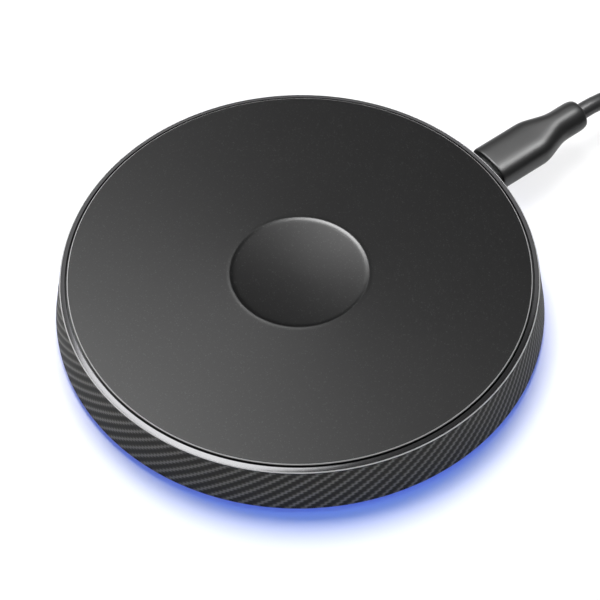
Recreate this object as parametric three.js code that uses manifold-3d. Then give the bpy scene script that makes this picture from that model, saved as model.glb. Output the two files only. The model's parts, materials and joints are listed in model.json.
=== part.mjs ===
// Round wireless charging pad with its detachable lead, in millimetres.
// +Z is up and z = 0 is the surface the pad stands on. The origin is under the middle of the pad,
// and +Y points out of its socket, along the plug.

import * as THREE from 'three';
import { mergeVertices } from 'three/addons/utils/BufferGeometryUtils.js';
import Module from 'manifold-3d';

const wasm = await Module();
wasm.setup();

// ---- driving dimensions ----

const GAP = 0.15; // assembly clearance between neighbouring pieces
const SHELL_SIDES = 64; // facets round the outer shells
const INNER_SIDES = 40; // facets round the pieces inside

const BASE_R = 50; // sharp lower edge of the side wall
const BASE_Z = 1.6;
const BEZEL_R = 48.5; // bright outer edge of the bezel
const BEZEL_Z = 11.6;
const BAND_TOP_Z = 11.2;
const BAND_WALL = 0.8;
const FRAME_WALL = 1.5;
const FRAME_TOP_Z = 10.8;
const FRAME_FOOT_Z = 2.4;
const DECK_Z = 9.4; // underside of the frame's inner deck
const DECK_TOP_Z = 10.3;
const DECK_HOLE_R = 26.6;

const PLATE_R = 46.95; // top cover
const PLATE_TOP_Z = 12.2;
const PLATE_WALL = 1.3;
const PLATE_CHAMFER = 0.3;
const DISH_R = 14;
const DISH_DEPTH = 1;
const DISH_WALL_DROP = 0.15; // the steep part of the dish, just inside its lip
const DISH_STEPS = 5;
const DISH_SHELL = 0.9; // thickness under the dish

const LIGHT_IN_R = 44.3; // light ring under the wall
const LIGHT_OUT_R = 48.9;
const COVER_R = 44; // bottom cover
const COVER_Z = 0.9;
const COVER_TOP_Z = 2.6;
const ADHESIVE_IN_R = 30;
const ADHESIVE_OUT_R = 45.5;
const FOOT_IN_R = 35;
const FOOT_OUT_R = 40;
const FOOT_TOP_Z = 1.2;

const BOARD_IN_R = 22.5; // circuit board
const BOARD_OUT_R = 46.3;
const BOARD_Z = 4.8;
const BOARD_TOP_Z = 5.8;
const TRAY_R = 26.2; // coil tray, ferrite and transmit coil, from the board up
const TRAY_WALL = 0.8;
const TRAY_RIM_Z = 9.2;
const FERRITE_R = 24.8;
const FERRITE_THICK = 1.2;
const COIL_IN_R = 10.5;
const COIL_OUT_R = 21.8;
const COIL_THICK = 1.6;
const LITZ_D = 0.9;
const LITZ_SIDES = 6;

const SCREW_COUNT = 4;
const SCREW_CIRCLE_R = 37.5;
const SCREW_SHANK_R = 0.95;
const SCREW_HEAD_R = 1.9;
const SCREW_HEAD_Z = 1.4; // underneath of the head
const SCREW_HEAD_TOP_Z = 2;
const SCREW_END_Z = 7.7;
const POST_R = 2.6;
const POST_SIDES = 16;
const HOLE_SIDES = 10;
const LED_COUNT = 8;
const LED_CIRCLE_R = 45.1;
const LED = { w: 1.8, d: 2.8, h: 0.7 };

const PLUG_Z = 7.2; // height of the socket's and the plug's axis
const PORT_W = 8.6; // opening in the side wall
const PORT_H = 3.5;
const PORT_CORNER_R = 1;
const SOCKET = { w: 7.7, h: 2.65, wall: 0.28, back: 42, front: 47.2 };
const SOCKET_TONGUE = { w: 5.2, d: 4.6, h: 0.45, rise: 0.25 };
const SOCKET_BLOCK_D = 1.2; // the moulding behind the tongue
const MICRO = { w: 6.85, h: 1.8, wall: 0.25, tip: 43.6, root: 49.75 };
const MICRO_GRIP = { w: 10.5, h: 6.8, body: 11.5, neck: 8, relief: 5.5, rise: 0.3, front: 50.05 };
const GRIP_LIFT = 0.25; // how far the grip's middle stands above the socket's axis
const GRIP_SIDES = 20;
const GRIP_SQUARENESS = 0.7; // 1 is an ellipse, and less is squarer
const RELIEF_D = 7;
const FRONT_TAPER = 0.94; // how much narrower a grip is at its very front and at its very back
const RELIEF_TAPER = 0.8;

const CABLE_D = 3.6;
const CABLE_SIDES = 8;
const RUN_STEPS = 8;
const TAIL_STEPS = 4;
const COIL_CENTRE = { x: 26.5, y: 114 };
const WOUND_OUT_R = 26.5; // centre line of the outermost turn
const WOUND_IN_R = 14.5; // centre line of the innermost turn
const LAYER_STEP = 3.65;
const TIE_THICK = 0.5;
const TIE_W = 8;
const WOUND_Z = TIE_THICK + GAP + CABLE_D / 2; // centre line of the lower layer

const USB_A_Z = 4.1;
const USB_A_GRIP = { w: 15.6, h: 7.9, body: 12, neck: 7, relief: 5, rise: 0, front: 66 };
const USB_A = { w: 12, h: 4.5, wall: 0.3, length: 11.8 };
const USB_A_PITCHES = [-3.5, -1, 1, 3.5]; // contact positions across the plug
const USB_A_TONGUE_H = 1.8;
const USB_A_CONTACT = { w: 1, d: 7.6, h: 0.2 };

// Centre line of the cable where it isn't wound, from the plug to the coil and from the coil to
// the charger's plug.
const RUN_POINTS = [
  [0, 75.35, 7.75],
  [0, 79, 7.65],
  [0, 83.5, 6.8],
  [0, 88.3, 5.05],
  [0, 93, 3.5],
  [0, 97, 2.75],
  [0, 99.8, 2.5],
];
const TAIL_POINTS = [
  [53, 99.8, 5.75],
  [53, 97, 5.2],
  [53, 94, 4.5],
  [53, 90.3, 4.15],
];

const wallRadius = (z) => BASE_R - ((z - BASE_Z) * (BASE_R - BEZEL_R)) / (BEZEL_Z - BASE_Z);
const deg = THREE.MathUtils.degToRad;

// ---- materials ----

const finish = (color, roughness, metalness) =>
  new THREE.MeshStandardMaterial({ color, roughness, metalness });

const MATERIAL = {
  softTop: finish(0x333436, 0.5, 0.1),
  bezelMetal: finish(0x8d8f92, 0.25, 1),
  carbonBand: finish(0x1b1c1e, 0.4, 0.1),
  blackPlastic: finish(0x161718, 0.55, 0),
  silicone: finish(0x1f2022, 0.85, 0),
  foam: finish(0x2a2a2c, 0.95, 0),
  litz: finish(0xb4632f, 0.4, 1),
  ferrite: finish(0x3a3a3d, 0.7, 0.2),
  board: finish(0x10402a, 0.45, 0),
  chip: finish(0x141415, 0.6, 0),
  capacitor: finish(0xa98a63, 0.5, 0),
  led: finish(0xf2f0d8, 0.3, 0),
  steel: finish(0xb9bcc0, 0.3, 1),
  gold: finish(0xd8ae4a, 0.25, 1),
  whitePlastic: finish(0xe6e6e2, 0.5, 0),
  grip: finish(0x2e2f31, 0.6, 0),
  cable: finish(0x27282a, 0.65, 0),
  strap: finish(0x18191b, 0.9, 0),
  diffuser: new THREE.MeshStandardMaterial({ color: 0xc9d4ff, roughness: 0.5, emissive: 0x3a50ff }),
};

// ---- helpers ----

// A closed geometry as a solid that can be cut and joined.
function toSolid(geometry) {
  const bare = new THREE.BufferGeometry();
  bare.setAttribute('position', geometry.getAttribute('position').clone());
  bare.setIndex(geometry.index ? geometry.index.clone() : null);
  const merged = mergeVertices(bare, 1e-4);
  const index = merged.index.array;
  const triVerts = [];
  for (let i = 0; i < index.length; i += 3) {
    const [a, b, c] = index.slice(i, i + 3);
    if (a !== b && b !== c && c !== a) triVerts.push(a, b, c);
  }
  const vertProperties = new Float32Array(merged.getAttribute('position').array);
  const mesh = new wasm.Mesh({ numProp: 3, vertProperties, triVerts: Uint32Array.from(triVerts) });
  return new wasm.Manifold(mesh);
}

function toGeometry(solid) {
  const mesh = solid.getMesh();
  const geometry = new THREE.BufferGeometry();
  geometry.setAttribute('position', new THREE.BufferAttribute(new Float32Array(mesh.vertProperties), 3));
  geometry.setIndex(new THREE.BufferAttribute(new Uint32Array(mesh.triVerts), 1));
  geometry.computeVertexNormals();
  return geometry;
}

function cut(geometry, ...tools) {
  return toGeometry(tools.reduce((solid, tool) => solid.subtract(toSolid(tool)), toSolid(geometry)));
}

function join(geometry, ...others) {
  return toGeometry(others.reduce((solid, other) => solid.add(toSolid(other)), toSolid(geometry)));
}

// A profile of [radius, height] pairs turned about Z. It runs anticlockwise, seen with the radius to
// the right and the height up, and either starts and ends on the axis or is closed here.
function revolve(profile, sides) {
  const points = profile.map(([r, z]) => new THREE.Vector2(r, z));
  const onAxis = points[0].x === 0;
  if (!onAxis) points.push(points[0].clone());
  const geometry = new THREE.LatheGeometry(points, sides);
  geometry.rotateX(Math.PI / 2);
  return geometry;
}

function ring(inner, outer, low, high, sides = SHELL_SIDES) {
  return revolve([[inner, low], [outer, low], [outer, high], [inner, high]], sides);
}

function disc(radius, low, high, sides = SHELL_SIDES) {
  return revolve([[0, low], [radius, low], [radius, high], [0, high]], sides);
}

function upright(radius, low, high, angle, circle, sides) {
  const geometry = disc(radius, low, high, sides);
  return geometry.translate(circle * Math.cos(angle), circle * Math.sin(angle), 0);
}

function box(w, d, h, x, y, z) {
  return new THREE.BoxGeometry(w, d, h).translate(x, y, z);
}

// A w by h rectangle about the origin with round corners.
function roundedRectangle(w, h, radius, arcSteps = 3) {
  const shape = new THREE.Shape();
  const [x, y] = [w / 2 - radius, h / 2 - radius];
  const corners = [[x, -y, -90], [x, y, 0], [-x, y, 90], [-x, -y, 180]];
  for (const [cx, cy, start] of corners) {
    for (let i = 0; i <= arcSteps; i += 1) {
      const angle = deg(start + (90 * i) / arcSteps);
      const point = [cx + radius * Math.cos(angle), cy + radius * Math.sin(angle)];
      if (shape.curves.length === 0 && shape.currentPoint.lengthSq() === 0) shape.moveTo(...point);
      else shape.lineTo(...point);
    }
  }
  return shape;
}

// A section drawn in X and Z, carried along Y from y = back to y = front.
function alongY(shape, back, front, x, z) {
  const geometry = new THREE.ExtrudeGeometry(shape, { depth: front - back, bevelEnabled: false });
  return geometry.rotateX(Math.PI / 2).translate(x, front, z);
}

// A round wire or cable along a smooth curve through the points.
function wire(points, diameter, sides, steps) {
  const section = new THREE.Shape();
  for (let i = 0; i < sides; i += 1) {
    const angle = (2 * Math.PI * (i + 0.5)) / sides;
    const place = [(diameter / 2) * Math.cos(angle), (diameter / 2) * Math.sin(angle)];
    if (i === 0) section.moveTo(...place);
    else section.lineTo(...place);
  }
  const path = new THREE.CatmullRomCurve3(points.map((p) => new THREE.Vector3(...p)));
  return new THREE.ExtrudeGeometry(section, { steps, bevelEnabled: false, extrudePath: path });
}

function piece(name, geometry, material) {
  const mesh = new THREE.Mesh(geometry, material);
  mesh.name = name;
  return mesh;
}

// ---- outer shells ----

function topCover() {
  const underside = PLATE_TOP_Z - PLATE_WALL;
  const floorZ = PLATE_TOP_Z - DISH_DEPTH;
  const bowlR = DISH_R - DISH_WALL_DROP;
  const profile = [
    [0, floorZ - DISH_SHELL],
    [bowlR - 0.5, floorZ - DISH_SHELL + 0.2],
    [DISH_R + 2, underside],
    [PLATE_R - PLATE_CHAMFER, underside],
    [PLATE_R, underside + PLATE_CHAMFER],
    [PLATE_R, PLATE_TOP_Z - PLATE_CHAMFER],
    [PLATE_R - PLATE_CHAMFER, PLATE_TOP_Z],
    [DISH_R + 0.25, PLATE_TOP_Z],
    [DISH_R - 0.1, PLATE_TOP_Z - 0.1],
  ];
  for (let i = DISH_STEPS; i >= 0; i -= 1) {
    const t = i / DISH_STEPS;
    profile.push([bowlR * t, floorZ + (DISH_DEPTH - DISH_WALL_DROP) * t * t]);
  }
  return piece('top_cover', revolve(profile, SHELL_SIDES), MATERIAL.softTop);
}

function bezelRing() {
  const foot = wallRadius(FRAME_TOP_Z) - BAND_WALL - GAP;
  const profile = [
    [PLATE_R + 0.4, FRAME_TOP_Z + 0.05],
    [foot, FRAME_TOP_Z + 0.05],
    [foot, BAND_TOP_Z + 0.05],
    [BEZEL_R, BAND_TOP_Z + 0.05],
    [BEZEL_R, BEZEL_Z],
    [BEZEL_R - 0.2, BEZEL_Z + 0.12],
    [PLATE_R + 0.55, BEZEL_Z + 0.3],
    [PLATE_R + 0.4, BEZEL_Z + 0.2],
  ];
  return piece('bezel_ring', revolve(profile, SHELL_SIDES), MATERIAL.bezelMetal);
}

function portTool() {
  const shape = roundedRectangle(PORT_W, PORT_H, PORT_CORNER_R);
  return alongY(shape, BASE_R - 10, BASE_R + 1, 0, PLUG_Z);
}

function sideBand() {
  const outer = revolve(
    [
      [BASE_R - BAND_WALL, BASE_Z],
      [BASE_R, BASE_Z],
      [wallRadius(BAND_TOP_Z), BAND_TOP_Z],
      [wallRadius(BAND_TOP_Z) - BAND_WALL, BAND_TOP_Z],
    ],
    SHELL_SIDES,
  );
  return piece('side_band', cut(outer, portTool()), MATERIAL.carbonBand);
}

function screwAngle(i) {
  return deg(45 + (360 / SCREW_COUNT) * i);
}

// An upright cylinder at the place of screw i.
function screwPlace(radius, low, high, i, sides) {
  return upright(radius, low, high, screwAngle(i), SCREW_CIRCLE_R, sides);
}

// Side wall, inner deck and screw posts, moulded in one.
function housingFrame() {
  const face = (z) => wallRadius(z) - BAND_WALL - GAP;
  let frame = revolve(
    [
      [face(FRAME_FOOT_Z) - FRAME_WALL, FRAME_FOOT_Z],
      [face(FRAME_FOOT_Z), FRAME_FOOT_Z],
      [face(FRAME_TOP_Z), FRAME_TOP_Z],
      [face(FRAME_TOP_Z) - FRAME_WALL, FRAME_TOP_Z],
      [face(FRAME_TOP_Z) - FRAME_WALL, DECK_TOP_Z],
      [DECK_HOLE_R, DECK_TOP_Z],
      [DECK_HOLE_R, DECK_Z],
      [face(DECK_Z) - FRAME_WALL, DECK_Z],
    ],
    SHELL_SIDES,
  );
  const posts = [];
  const holes = [];
  for (let i = 0; i < SCREW_COUNT; i += 1) {
    posts.push(screwPlace(POST_R, COVER_TOP_Z + 0.05, DECK_Z + 0.4, i, POST_SIDES));
    holes.push(screwPlace(SCREW_SHANK_R + GAP, COVER_TOP_Z - 1, SCREW_END_Z + 0.3, i, HOLE_SIDES));
  }
  frame = join(frame, ...posts);
  return piece('housing_frame', cut(frame, portTool(), ...holes), MATERIAL.blackPlastic);
}

function lightRing() {
  const profile = [
    [LIGHT_IN_R, BASE_Z - 0.6],
    [LIGHT_OUT_R - 0.5, BASE_Z - 0.6],
    [LIGHT_OUT_R, BASE_Z - 0.1],
    [LIGHT_OUT_R, FRAME_FOOT_Z - GAP],
    [LIGHT_IN_R, FRAME_FOOT_Z - GAP],
  ];
  return piece('light_ring', revolve(profile, SHELL_SIDES), MATERIAL.diffuser);
}

function bottomCover() {
  const groove = FOOT_TOP_Z + 0.05;
  const cover = revolve(
    [
      [0, COVER_Z],
      [FOOT_IN_R - GAP, COVER_Z],
      [FOOT_IN_R - GAP, groove],
      [FOOT_OUT_R + GAP, groove],
      [FOOT_OUT_R + GAP, COVER_Z],
      [COVER_R, COVER_Z],
      [COVER_R, COVER_TOP_Z],
      [0, COVER_TOP_Z],
    ],
    SHELL_SIDES,
  );
  const holes = [];
  for (let i = 0; i < SCREW_COUNT; i += 1) {
    holes.push(screwPlace(SCREW_HEAD_R + 0.2, groove - 0.1, SCREW_HEAD_TOP_Z + 0.05, i, POST_SIDES));
    holes.push(screwPlace(SCREW_SHANK_R + 0.3, SCREW_HEAD_Z + 0.1, COVER_TOP_Z + 1, i, HOLE_SIDES));
  }
  return piece('bottom_cover', cut(cover, ...holes), MATERIAL.blackPlastic);
}

function footRing() {
  return piece('foot_ring', ring(FOOT_IN_R, FOOT_OUT_R, 0, FOOT_TOP_Z), MATERIAL.silicone);
}

function screws() {
  const profile = [
    [0, SCREW_HEAD_Z],
    [SCREW_HEAD_R, SCREW_HEAD_Z],
    [SCREW_HEAD_R, SCREW_HEAD_TOP_Z],
    [SCREW_SHANK_R, SCREW_HEAD_TOP_Z],
    [SCREW_SHANK_R, SCREW_END_Z - 0.5],
    [0, SCREW_END_Z],
  ];
  const made = [];
  for (let i = 0; i < SCREW_COUNT; i += 1) {
    const screw = piece(`case_screw_${i + 1}`, revolve(profile, HOLE_SIDES), MATERIAL.steel);
    const angle = screwAngle(i);
    screw.position.set(SCREW_CIRCLE_R * Math.cos(angle), SCREW_CIRCLE_R * Math.sin(angle), 0);
    made.push(screw);
  }
  return made;
}

// ---- coil stack ----

function adhesiveRing() {
  const top = PLATE_TOP_Z - PLATE_WALL - 0.05;
  const tape = ring(ADHESIVE_IN_R, ADHESIVE_OUT_R, DECK_TOP_Z + 0.05, top);
  return piece('adhesive_ring', tape, MATERIAL.foam);
}

const trayFloorZ = BOARD_TOP_Z + 0.05;
const ferriteZ = trayFloorZ + TRAY_WALL + 0.05;
const coilZ = ferriteZ + FERRITE_THICK + 0.1;
const LEAD_ANGLE = deg(60);

// A shallow cup with a notch in its rim, where the coil's two ends leave it.
function coilTray() {
  const cup = revolve(
    [
      [0, trayFloorZ],
      [TRAY_R, trayFloorZ],
      [TRAY_R, TRAY_RIM_Z],
      [TRAY_R - TRAY_WALL, TRAY_RIM_Z],
      [TRAY_R - TRAY_WALL, trayFloorZ + TRAY_WALL],
      [0, trayFloorZ + TRAY_WALL],
    ],
    INNER_SIDES,
  );
  const notch = box(4, 6.5, 4, TRAY_R, 0, ferriteZ + FERRITE_THICK + 2).rotateZ(LEAD_ANGLE);
  return piece('coil_tray', cut(cup, notch), MATERIAL.blackPlastic);
}

function coilStack() {
  const ferrite = disc(FERRITE_R, ferriteZ, ferriteZ + FERRITE_THICK, INNER_SIDES);
  const winding = revolve(
    [
      [COIL_IN_R, coilZ],
      [COIL_OUT_R, coilZ],
      [COIL_OUT_R + 0.2, coilZ + COIL_THICK / 2],
      [COIL_OUT_R, coilZ + COIL_THICK],
      [COIL_IN_R, coilZ + COIL_THICK],
    ],
    INNER_SIDES,
  );
  const bead = new THREE.SphereGeometry(1, 8, 6).scale(1.4, 1, 0.6);
  bead.translate(0, 0, coilZ + 0.6);
  return [
    piece('ferrite_shield', ferrite, MATERIAL.ferrite),
    piece('transmit_coil', winding, MATERIAL.litz),
    piece('thermistor', bead, MATERIAL.chip),
  ];
}

// The coil's two ends, over the notch in the tray and down to the board.
function coilLeads() {
  const points = [
    [COIL_OUT_R + 0.9, coilZ + 0.8],
    [TRAY_R - 1, coilZ + 0.9],
    [TRAY_R + 1.6, coilZ + 0.3],
    [TRAY_R + 2.6, BOARD_TOP_Z + 0.3],
  ];
  return [-1.3, 1.3].map((side, i) => {
    const path = points.map(([r, z]) => [r, side, z]);
    const lead = piece(`coil_lead_${i + 1}`, wire(path, LITZ_D, LITZ_SIDES, 8), MATERIAL.litz);
    lead.rotation.z = LEAD_ANGLE;
    return lead;
  });
}

// ---- electronics ----

function circuitBoard() {
  const holes = [];
  for (let i = 0; i < SCREW_COUNT; i += 1) {
    holes.push(screwPlace(POST_R + 0.3, BOARD_Z - 1, BOARD_TOP_Z + 1, i, POST_SIDES));
  }
  const board = cut(ring(BOARD_IN_R, BOARD_OUT_R, BOARD_Z, BOARD_TOP_Z), ...holes);
  return piece('circuit_board', board, MATERIAL.board);
}

// Each block stands on the board: name, material, width, depth, height, and its place as an angle
// in degrees and a radius.
const BOARD_BLOCKS = [
  ['controller_chip', 'chip', 6, 6, 0.9, 125, 36],
  ['bridge_chip_1', 'chip', 5, 5, 0.9, 62, 38.5],
  ['bridge_chip_2', 'chip', 5, 5, 0.9, 72, 32.5],
  ['resonant_capacitor_1', 'capacitor', 3.2, 5, 2, 28, 33],
  ['resonant_capacitor_2', 'capacitor', 3.2, 5, 2, 18, 33],
  ['resonant_capacitor_3', 'capacitor', 3.2, 5, 2, 8, 33],
  ['power_inductor', 'ferrite', 5, 5, 2, 104, 36.5],
  ['clock_crystal', 'steel', 3.2, 2.5, 0.8, 145, 37],
];

function boardBlocks() {
  return BOARD_BLOCKS.map(([name, material, w, d, h, angle, radius]) => {
    const block = piece(name, new THREE.BoxGeometry(w, d, h), MATERIAL[material]);
    const turn = deg(angle);
    block.position.set(radius * Math.cos(turn), radius * Math.sin(turn), BOARD_TOP_Z + 0.05 + h / 2);
    block.rotation.z = turn;
    return block;
  });
}

// Light sources under the board, shining down into the light ring.
function leds() {
  const { w, d, h } = LED;
  const made = [];
  for (let i = 0; i < LED_COUNT; i += 1) {
    const angle = deg((360 / LED_COUNT) * (i + 0.5));
    const led = piece(`led_${i + 1}`, new THREE.BoxGeometry(w, d, h), MATERIAL.led);
    led.position.set(LED_CIRCLE_R * Math.cos(angle), LED_CIRCLE_R * Math.sin(angle), BOARD_Z - 0.05 - h / 2);
    led.rotation.z = angle;
    made.push(led);
  }
  return made;
}

// A thin-walled rectangular tube about the connector's axis.
function metalTube({ w, h, wall }, back, front, x, z, radius) {
  const outer = roundedRectangle(w, h, radius, 2);
  outer.holes.push(roundedRectangle(w - 2 * wall, h - 2 * wall, Math.max(radius - wall, 0.1), 2));
  return alongY(outer, back, front, x, z);
}

function usbSocket() {
  const { wall, w, h, back, front } = SOCKET;
  const shell = metalTube(SOCKET, back, front, 0, PLUG_Z, 0.6);
  const inset = wall + 0.05;
  const rear = box(w - 2 * inset - 0.4, SOCKET_BLOCK_D, h - 2 * inset, 0, back + SOCKET_BLOCK_D / 2, PLUG_Z);
  const { w: tongueW, d: tongueD, h: tongueH, rise } = SOCKET_TONGUE;
  const tongue = box(tongueW, tongueD, tongueH, 0, back + 0.9 + tongueD / 2, PLUG_Z + rise);
  return [
    piece('usb_socket_shell', shell, MATERIAL.steel),
    piece('usb_socket_tongue', join(rear, tongue), MATERIAL.chip),
  ];
}

// ---- lead ----

// A moulded grip along Y: a flat-topped body, a smooth neck and a round strain relief, whose middle
// rises a little above the body's. Its front face is at y = 0 and the cable leaves it at its far end.
function mouldedGrip({ w, h, body, neck, relief, rise }) {
  const length = body + neck + relief;
  const neckStations = [0, 0.25, 0.5, 0.75, 1].map((t) => body + neck * t);
  const stations = [0, 0.35, body * 0.5, ...neckStations, length - 0.7, length];
  const ends = { 0: FRONT_TAPER, [length]: RELIEF_TAPER };
  const geometry = new THREE.CylinderGeometry(1, 1, 1, GRIP_SIDES, stations.length - 1);
  const place = geometry.getAttribute('position');
  for (let i = 0; i < place.count; i += 1) {
    const along = stations[Math.round((place.getY(i) + 0.5) * (stations.length - 1))];
    const t = THREE.MathUtils.smoothstep(along, body, body + neck);
    const end = ends[along] ?? 1;
    const halfW = THREE.MathUtils.lerp(w / 2, RELIEF_D / 2, t) * end;
    const halfH = THREE.MathUtils.lerp(h / 2, RELIEF_D / 2 - 0.15, t) * end;
    const squareness = THREE.MathUtils.lerp(GRIP_SQUARENESS, 1, t);
    const bulge = (v) => Math.sign(v) * Math.abs(v) ** squareness;
    place.setXYZ(i, halfW * bulge(place.getX(i)), along, rise * t + halfH * bulge(place.getZ(i)));
  }
  return geometry;
}

function microPlug() {
  const { w, h, wall, tip, root } = MICRO;
  const shell = metalTube(MICRO, tip, root, 0, PLUG_Z, 0.5);
  const inset = wall + 0.08;
  const low = PLUG_Z - h / 2 + inset;
  const insulator = box(w - 2 * inset - 0.3, root - tip - 0.3, 0.35, 0, (tip + root) / 2, low + 0.175);
  const grip = mouldedGrip(MICRO_GRIP).translate(0, MICRO_GRIP.front, PLUG_Z + GRIP_LIFT);
  return [
    piece('plug_shell', shell, MATERIAL.steel),
    piece('plug_insulator', insulator, MATERIAL.whitePlastic),
    piece('plug_overmould', grip, MATERIAL.grip),
  ];
}

const woundLow = WOUND_Z - CABLE_D / 2;
const woundHigh = WOUND_Z + LAYER_STEP + CABLE_D / 2;
const woundIn = WOUND_IN_R - CABLE_D / 2 - 0.05;
const woundOut = WOUND_OUT_R + CABLE_D / 2 + 0.05;

// The outer shape of the wound cable: two layers of turns.
function woundCable() {
  const soft = CABLE_D / 4;
  const profile = [
    [woundIn + soft, woundLow],
    [woundOut - soft, woundLow],
    [woundOut, woundLow + soft],
    [woundOut, woundHigh - soft],
    [woundOut - soft, woundHigh],
    [woundIn + soft, woundHigh],
    [woundIn, woundHigh - soft],
    [woundIn, woundLow + soft],
  ];
  const coil = piece('cable_coil', revolve(profile, INNER_SIDES), MATERIAL.cable);
  coil.position.set(COIL_CENTRE.x, COIL_CENTRE.y, 0);
  return coil;
}

// A strap that runs over, under and through the coil, on its far side.
function cableTie() {
  const reach = GAP + TIE_THICK;
  const outside = ring(woundIn - reach, woundOut + reach, woundLow - reach, woundHigh + reach, INNER_SIDES);
  const inside = ring(woundIn - GAP, woundOut + GAP, woundLow - GAP, woundHigh + GAP, INNER_SIDES);
  const slice = box(TIE_W, woundOut + 5, 20, 0, (woundOut + 5) / 2, 0);
  const strap = toGeometry(toSolid(outside).subtract(toSolid(inside)).intersect(toSolid(slice)));
  const tie = piece('cable_tie', strap, MATERIAL.strap);
  tie.position.set(COIL_CENTRE.x, COIL_CENTRE.y, 0);
  return tie;
}

function usbAPlug() {
  const x = TAIL_POINTS[0][0];
  const { w, h, wall, length } = USB_A;
  const root = USB_A_GRIP.front - 0.3;
  const tip = root - length;
  const shell = metalTube(USB_A, tip, root, x, USB_A_Z, 0.5);
  const inset = wall + 0.1;
  const low = USB_A_Z - h / 2 + inset;
  const tongueTop = low + USB_A_TONGUE_H;
  const tongueZ = low + USB_A_TONGUE_H / 2;
  const tongue = box(w - 2 * inset - 0.2, length - 0.6, USB_A_TONGUE_H, x, (tip + root) / 2, tongueZ);
  const grip = mouldedGrip(USB_A_GRIP).translate(x, USB_A_GRIP.front, USB_A_Z);
  const contacts = USB_A_PITCHES.map((pitch, i) => {
    const { w: stripW, d: stripD, h: stripH } = USB_A_CONTACT;
    const strip = box(stripW, stripD, stripH, x + pitch, tip + 6, tongueTop + 0.05 + stripH / 2);
    return piece(`usb_a_contact_${i + 1}`, strip, MATERIAL.gold);
  });
  return [
    piece('usb_a_overmould', grip, MATERIAL.grip),
    piece('usb_a_shell', shell, MATERIAL.steel),
    piece('usb_a_insulator', tongue, MATERIAL.whitePlastic),
    ...contacts,
  ];
}

function cable() {
  return [
    piece('cable_run', wire(RUN_POINTS, CABLE_D, CABLE_SIDES, RUN_STEPS), MATERIAL.cable),
    woundCable(),
    cableTie(),
    piece('cable_tail', wire(TAIL_POINTS, CABLE_D, CABLE_SIDES, TAIL_STEPS), MATERIAL.cable),
  ];
}

// ---- assembly ----

const pad = new THREE.Group();
pad.add(topCover(), bezelRing(), sideBand(), housingFrame(), lightRing(), bottomCover(), footRing());
pad.add(...screws(), adhesiveRing(), coilTray(), ...coilStack(), ...coilLeads());
pad.add(circuitBoard(), ...boardBlocks(), ...leds(), ...usbSocket());

const lead = new THREE.Group();
lead.add(...microPlug(), ...cable(), ...usbAPlug());

const model = new THREE.Group();
model.add(pad, lead);

export default model;
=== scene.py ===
import contextlib
import json
import math

import bmesh
import bpy
from mathutils import Matrix, Vector

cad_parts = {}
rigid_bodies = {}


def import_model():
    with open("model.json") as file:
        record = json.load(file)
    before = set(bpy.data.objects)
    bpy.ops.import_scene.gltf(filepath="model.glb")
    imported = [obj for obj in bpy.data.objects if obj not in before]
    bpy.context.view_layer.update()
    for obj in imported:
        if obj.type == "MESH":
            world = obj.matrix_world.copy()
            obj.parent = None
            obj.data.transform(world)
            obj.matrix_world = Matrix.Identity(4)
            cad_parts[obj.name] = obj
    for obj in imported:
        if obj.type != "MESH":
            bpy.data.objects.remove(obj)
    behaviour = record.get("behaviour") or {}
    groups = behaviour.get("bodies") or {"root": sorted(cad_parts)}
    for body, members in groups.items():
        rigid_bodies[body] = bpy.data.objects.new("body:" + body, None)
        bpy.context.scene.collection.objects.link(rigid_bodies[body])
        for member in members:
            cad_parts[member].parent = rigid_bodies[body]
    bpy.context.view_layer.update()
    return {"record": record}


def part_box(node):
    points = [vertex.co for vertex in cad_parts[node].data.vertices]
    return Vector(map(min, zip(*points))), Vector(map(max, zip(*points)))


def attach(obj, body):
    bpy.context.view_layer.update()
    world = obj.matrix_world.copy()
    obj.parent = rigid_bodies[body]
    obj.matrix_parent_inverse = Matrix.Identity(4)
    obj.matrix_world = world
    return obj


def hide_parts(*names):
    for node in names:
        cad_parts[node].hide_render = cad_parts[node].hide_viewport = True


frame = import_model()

MM = 0.001

# ---- sizes taken from the frame ----


def low_high(node):
    """A CAD node's lowest and highest corner."""
    low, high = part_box(node)
    return Vector(low), Vector(high)


def middle_of(node):
    low, high = low_high(node)
    return (low + high) / 2


def radius_of(node):
    low, high = low_high(node)
    return (high.x - low.x) / 2


def top_of(node):
    return low_high(node)[1].z


def foot_of(node):
    return low_high(node)[0].z


BEZEL_R = radius_of("bezel_ring")
BEZEL_TOP = top_of("bezel_ring")
BAND_R = radius_of("side_band")
BAND_FOOT = foot_of("side_band")
BAND_TOP = top_of("side_band")
PLATE_R = radius_of("top_cover")
PLATE_TOP = top_of("top_cover")
PLUG_Z = middle_of("plug_shell").z
USB_MIDDLE = middle_of("usb_a_overmould")

CABLE_D = 3.6 * MM

# ---- camera ----

CAMERA_AZIMUTH = 53.2  # degrees; 0 looks along +Y
CAMERA_ELEVATION = 51.85
CAMERA_DISTANCE = 0.5195
CAMERA_PITCH = 0.6  # how far the view is turned down from the pad's middle
CAMERA_ROLL = -1.03
CAMERA_LENS = 154.35
CAMERA_SENSOR = 36


def camera_axes():
    """Right, away and up of the camera's ground frame, in the row frame."""
    a = math.radians(CAMERA_AZIMUTH)
    right = Vector((math.cos(a), math.sin(a), 0))
    away = Vector((-math.sin(a), math.cos(a), 0))
    return right, away, Vector((0, 0, 1))


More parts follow.
